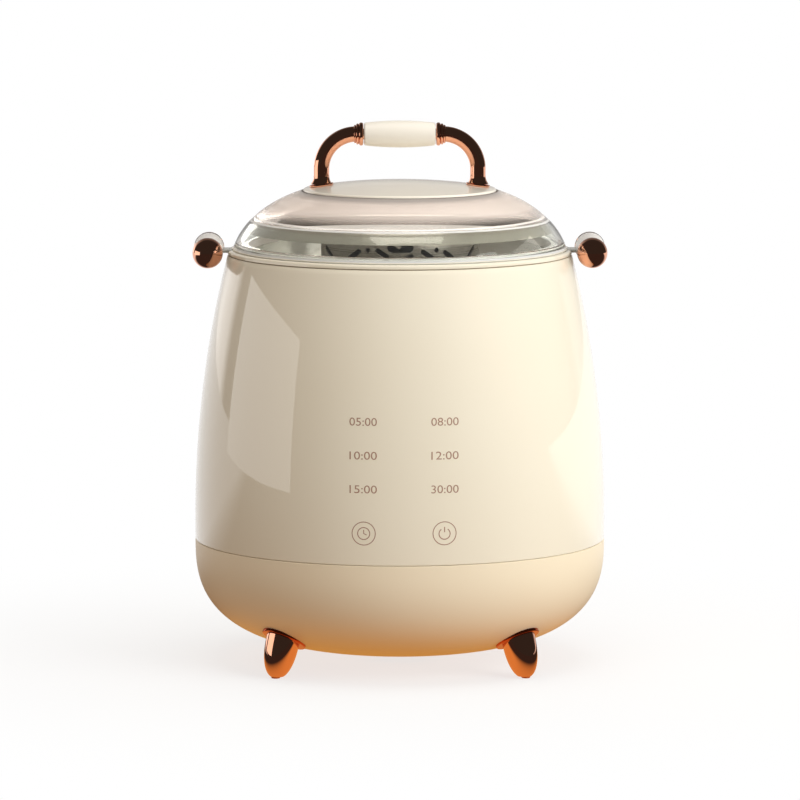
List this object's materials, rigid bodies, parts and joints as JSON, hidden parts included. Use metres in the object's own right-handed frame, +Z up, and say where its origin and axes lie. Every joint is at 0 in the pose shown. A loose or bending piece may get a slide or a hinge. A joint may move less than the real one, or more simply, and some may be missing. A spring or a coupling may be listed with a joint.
{
  "type": "egg cooker",
  "caption": "Round countertop egg cooker: cream body on splayed copper feet, lift-out steel pot with side grips, domed steam rack and clear lid with an arched copper handle.",
  "frame": {"origin": "on the ground, under the middle of the body", "axes": "+Z up, the control panel faces -Y, the side grips lie along +X and -X"},
  "size_m": [0.1908, 0.1898, 0.2505],
  "materials": {
    "body_cream": "glossy",
    "base_cream": "satin",
    "grip_cream": "satin",
    "copper": "mirror-polished rose copper",
    "copper_dark": "polished dark copper",
    "polished_steel": "polished",
    "sheet_steel": "brushed",
    "cast_plate": "as cast",
    "dark_steel": "dull",
    "bright_metal": "plated",
    "contact_brass": "plain",
    "black_plastic": "matt",
    "board_green": "satin",
    "lamp_white": "clear",
    "relay_blue": "satin",
    "transformer_yellow": "satin",
    "wire_cover": "matt",
    "pad_rubber": "matt",
    "lid_clear": "clear, faint warm tint"
  },
  "bodies": {
    "base": {"upper_shell": "body_cream", "lower_shell": "base_cream", "rim_ring": "body_cream", "inner_liner": "sheet_steel", "heating_plate": "cast_plate", "heating_element": "dark_steel", "overheat_cutout": "black_plastic", "thermal_fuse": "bright_metal", "sensor_holder": "black_plastic", "sensor_spring": "dark_steel", "touch_board": "board_green", "touch_springs": "contact_brass", "indicator_leds": "lamp_white", "touch_board_screws": "bright_metal", "power_board": "board_green", "relay": "relay_blue", "capacitor": "black_plastic", "transformer": "transformer_yellow", "board_screws": "bright_metal", "bottom_cover": "base_cream", "cover_screws": "bright_metal", "mains_inlet": "black_plastic", "inlet_pins": "contact_brass", "inlet_screws": "bright_metal", "internal_wires": "wire_cover", "feet": "copper", "foot_collars": "copper_dark", "foot_pads": "pad_rubber", "foot_screws": "bright_metal"},
    "sensor": {"temperature_sensor": "sheet_steel", "sensor_clip": "dark_steel"},
    "pot": {"inner_pot": "polished_steel", "pot_arms": "polished_steel", "side_grips": "grip_cream", "grip_caps": "copper"},
    "rack": {"steam_rack": "polished_steel"},
    "lid": {"lid_dome": "lid_clear", "lid_trim_ring": "polished_steel", "lid_top_plate": "body_cream", "handle_bar": "copper", "handle_grip": "grip_cream", "handle_collars": "copper", "handle_flanges": "copper", "handle_screws": "bright_metal", "handle_washers": "pad_rubber"}
  },
  "joints": [
    {"name": "pot_lift", "type": "slide", "parent": "base", "child": "pot", "axis": [0, 0, 1], "range_m": [0, 0.14]},
    {"name": "rack_lift", "type": "slide", "parent": "pot", "child": "rack", "axis": [0, 0, 1], "range_m": [0, 0.05]},
    {"name": "lid_lift", "type": "slide", "parent": "rack", "child": "lid", "axis": [0, 0, 1], "range_m": [0, 0.06]},
    {"name": "sensor_press", "type": "slide", "parent": "base", "child": "sensor", "axis": [0, 0, 1], "range_m": [-0.002, 0], "stiffness_N_per_m": 150, "springref_m": 0.002, "deforming": ["sensor_spring"]}
  ]
}
